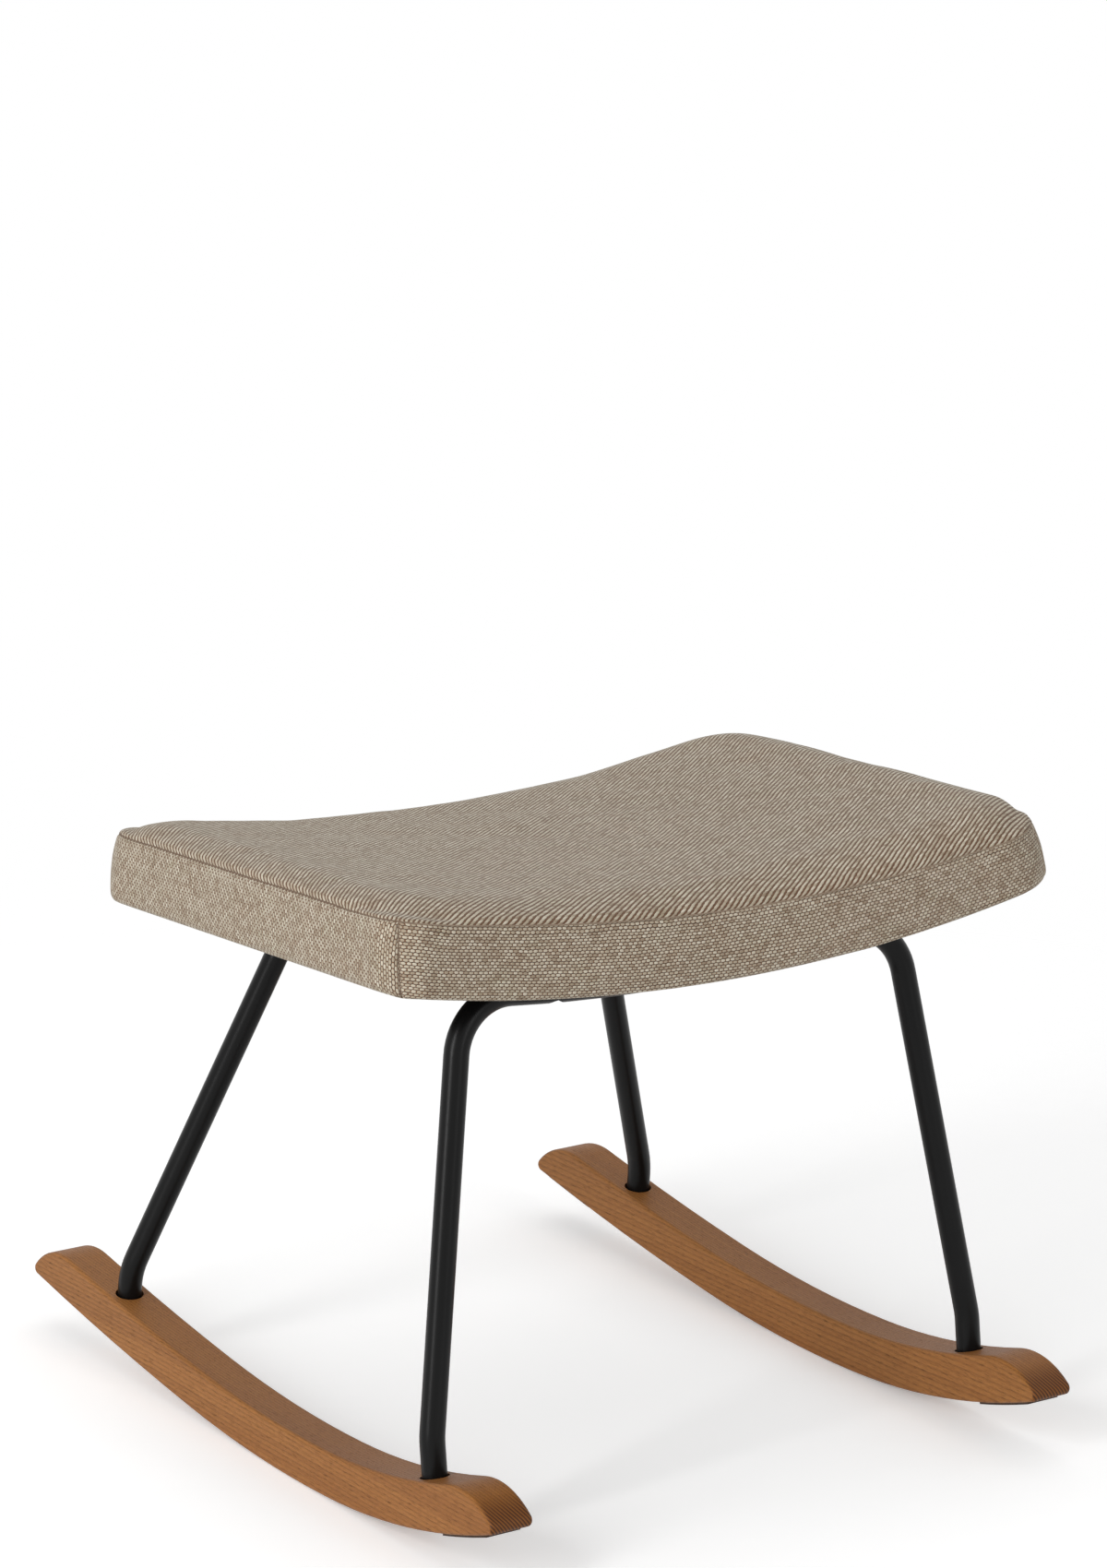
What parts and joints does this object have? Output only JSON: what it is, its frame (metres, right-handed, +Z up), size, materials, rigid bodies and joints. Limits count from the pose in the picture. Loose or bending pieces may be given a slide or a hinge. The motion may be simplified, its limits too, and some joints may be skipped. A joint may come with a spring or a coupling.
{
  "type": "rocking footstool",
  "caption": "Rocking footstool with a curved upholstered seat on two bent black steel tube frames and oak rockers.",
  "frame": {"origin": "on the floor, in the middle of the stool's outer box seen from above", "axes": "+Z up, X across the stool, +Y from the front, where the seat is higher, to the rear"},
  "size_m": [0.504, 0.58, 0.4142],
  "materials": {
    "oak": "satin oiled oak",
    "black_steel": "satin black powder coat",
    "insert_steel": "plain turned steel",
    "zinc_steel": "zinc plated",
    "staple_steel": "galvanised wire",
    "saddle_plastic": "moulded black nylon",
    "woven_cover": "coarse basket weave in cream, beige and brown yarns",
    "dust_cloth": "thin black non-woven",
    "plywood": "birch plywood",
    "foam": "open-cell foam",
    "wadding": "soft polyester wadding",
    "felt": "dark pressed felt"
  },
  "bodies": {
    "root": {"rocker_left": "oak", "rocker_right": "oak", "front_tube_frame": "black_steel", "rear_tube_frame": "black_steel", "leg_inserts": "insert_steel", "rocker_washers": "zinc_steel", "rocker_bolts": "zinc_steel", "frame_bolts": "zinc_steel", "tee_nuts": "zinc_steel", "staples": "staple_steel", "saddle_washers": "saddle_plastic", "cover_top_panel": "woven_cover", "cover_front_band": "woven_cover", "cover_rear_band": "woven_cover", "cover_left_band": "woven_cover", "cover_right_band": "woven_cover", "dust_cover": "dust_cloth", "seat_board": "plywood", "seat_foam": "foam", "seat_wadding": "wadding", "felt_pad_front_left": "felt", "felt_pad_front_right": "felt", "felt_pad_rear_left": "felt", "felt_pad_rear_right": "felt"}
  },
  "joints": []
}
